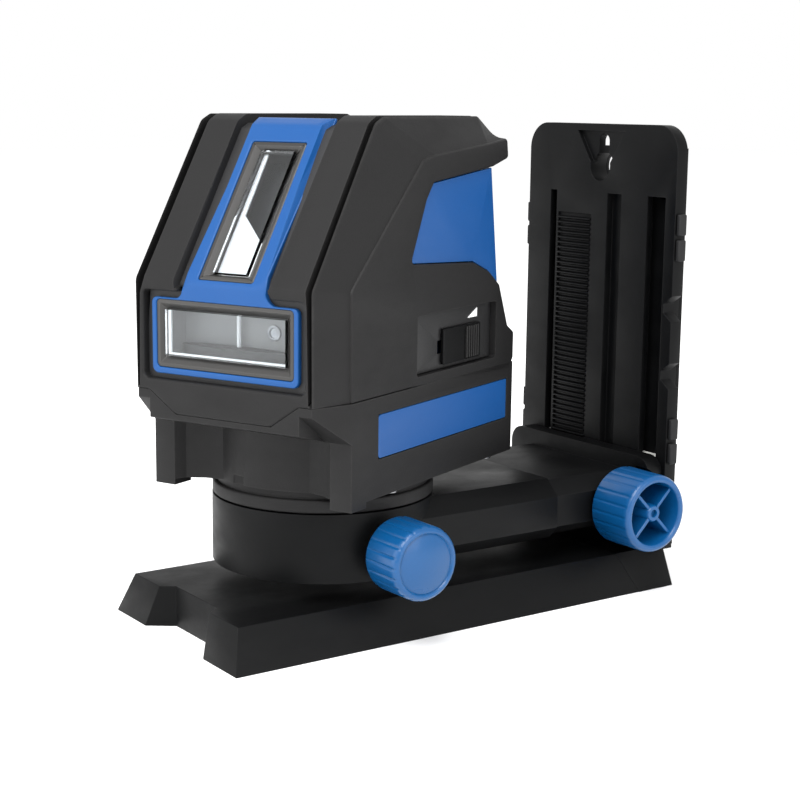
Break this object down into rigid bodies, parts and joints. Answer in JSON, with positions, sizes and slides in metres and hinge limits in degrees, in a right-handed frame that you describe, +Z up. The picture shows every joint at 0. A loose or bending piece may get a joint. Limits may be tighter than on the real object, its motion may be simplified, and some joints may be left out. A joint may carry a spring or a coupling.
{
  "type": "line laser level on bracket",
  "caption": "Self-levelling line laser on a geared turntable, carried on a rack-and-pinion lift along a magnetic wall column with a flat foot.",
  "frame": {"origin": "on the floor, under the turntable's axis", "axes": "+Z up, +Y from the turntable to the column, +X the side with the two hand knobs"},
  "size_m": [0.0993, 0.1599, 0.1388],
  "materials": {
    "charcoal_shell": "fine textured soft-touch plastic",
    "charcoal_frame": "satin moulded plastic",
    "blue_shell": "satin blue plastic",
    "blue_knob": "glossy blue plastic",
    "window_glass": "clear",
    "steel": "zinc plated",
    "brass": "machined",
    "white_polymer": "natural acetal",
    "rubber_pad": "moulded rubber",
    "copper": "machined copper",
    "board": "solder mask",
    "cell_wrap": "printed sleeve, left plain"
  },
  "bodies": {
    "bracket": {"foot_plate": "charcoal_frame", "foot_base_plate": "steel", "foot_screws": "steel", "tripod_insert": "brass", "column_base": "charcoal_frame", "column": "charcoal_frame", "back_cover": "charcoal_frame", "back_magnets": "steel", "cover_screws": "steel", "column_bolts": "steel", "side_pads": "rubber_pad", "rack_strip": "charcoal_frame"},
    "carriage": {"arm_housing": "charcoal_frame", "carriage_block": "charcoal_frame", "gear_cover": "charcoal_frame", "gear_cover_screws": "steel", "block_screws": "steel", "guide_shoes": "white_polymer", "shaft_bushes": "brass", "spindle_bush": "brass", "idler_pin": "steel"},
    "lift_knob": {"lift_knob": "blue_knob", "lift_shaft": "steel", "lift_pinion": "brass"},
    "idler": {"idler_gear": "brass"},
    "turn_knob": {"turn_knob": "blue_knob", "turn_shaft": "steel", "turn_pinion": "brass"},
    "turntable": {"turntable_disc": "charcoal_frame", "crown_gear": "white_polymer", "turntable_spindle": "steel", "spindle_clip": "steel", "lower_case": "charcoal_shell", "upper_case": "charcoal_shell", "right_cheek": "charcoal_shell", "left_cheek": "charcoal_shell", "rear_cover": "blue_shell", "side_panels": "blue_shell", "side_bands": "blue_shell", "window_strip": "blue_shell", "upper_window_frame": "charcoal_frame", "upper_window": "window_glass", "lower_window_frame": "blue_shell", "lower_window": "window_glass", "door_pin": "steel", "battery_tray": "charcoal_frame", "battery_cells": "cell_wrap", "battery_contacts": "steel", "head_insert": "brass", "case_screws": "steel", "inner_frame": "charcoal_frame", "damping_magnet": "steel", "circuit_board": "board"},
    "clamp_screw": {"clamp_screw": "charcoal_frame"},
    "lock_slider": {"lock_slider": "charcoal_frame"},
    "battery_door": {"battery_door": "charcoal_shell"},
    "gimbal": {"gimbal_ring": "brass"},
    "pendulum": {"pendulum_frame": "brass", "pendulum_weight": "copper", "laser_emitters": "brass"}
  },
  "joints": [
    {"name": "carriage_lift", "type": "slide", "parent": "bracket", "child": "carriage", "axis": [0, 0, 1], "range_m": [-0.0025, 0.068]},
    {"name": "lift_knob_turn", "type": "hinge", "parent": "carriage", "child": "lift_knob", "pos_m": [0.03, 0.087, 0.0259], "axis": [1, 0, 0], "range_deg": [-36.5, 975]},
    {"name": "idler_turn", "type": "hinge", "parent": "carriage", "child": "idler", "pos_m": [-0.011, 0.095, 0.0259], "axis": [1, 0, 0], "range_deg": [-975, 36.5]},
    {"name": "turntable_turn", "type": "hinge", "parent": "carriage", "child": "turntable", "pos_m": [0, 0, 0.038], "axis": [0, 0, 1], "continuous": true},
    {"name": "turn_knob_turn", "type": "hinge", "parent": "carriage", "child": "turn_knob", "pos_m": [0.04, 0, 0.0259], "axis": [1, 0, 0], "continuous": true},
    {"name": "clamp_screw_turn", "type": "hinge", "parent": "turntable", "child": "clamp_screw", "pos_m": [0, 0, 0.016], "axis": [0, 0, 1], "continuous": true},
    {"name": "lock_slide", "type": "slide", "parent": "turntable", "child": "lock_slider", "axis": [0.3987, -0.9171, 0], "range_m": [0, 0.011]},
    {"name": "battery_door_open", "type": "hinge", "parent": "turntable", "child": "battery_door", "pos_m": [-0.02002, 0.04604, 0.044], "axis": [-0.9171, -0.3987, 0], "range_deg": [0, 90]},
    {"name": "gimbal_tilt", "type": "hinge", "parent": "turntable", "child": "gimbal", "pos_m": [-0.0008, 0.00183, 0.114], "axis": [0.9171, 0.3987, 0], "range_deg": [-4, 4]},
    {"name": "pendulum_swing", "type": "hinge", "parent": "gimbal", "child": "pendulum", "pos_m": [-0.0008, 0.00183, 0.114], "axis": [-0.3987, 0.9171, 0], "range_deg": [-4, 4]}
  ],
  "couplings": [
    {"joint": "lift_knob_turn", "follows": "carriage_lift", "rad_per_m": 250},
    {"joint": "idler_turn", "follows": "carriage_lift", "rad_per_m": -250},
    {"joint": "turn_knob_turn", "follows": "turntable_turn", "ratio": -5.5}
  ]
}
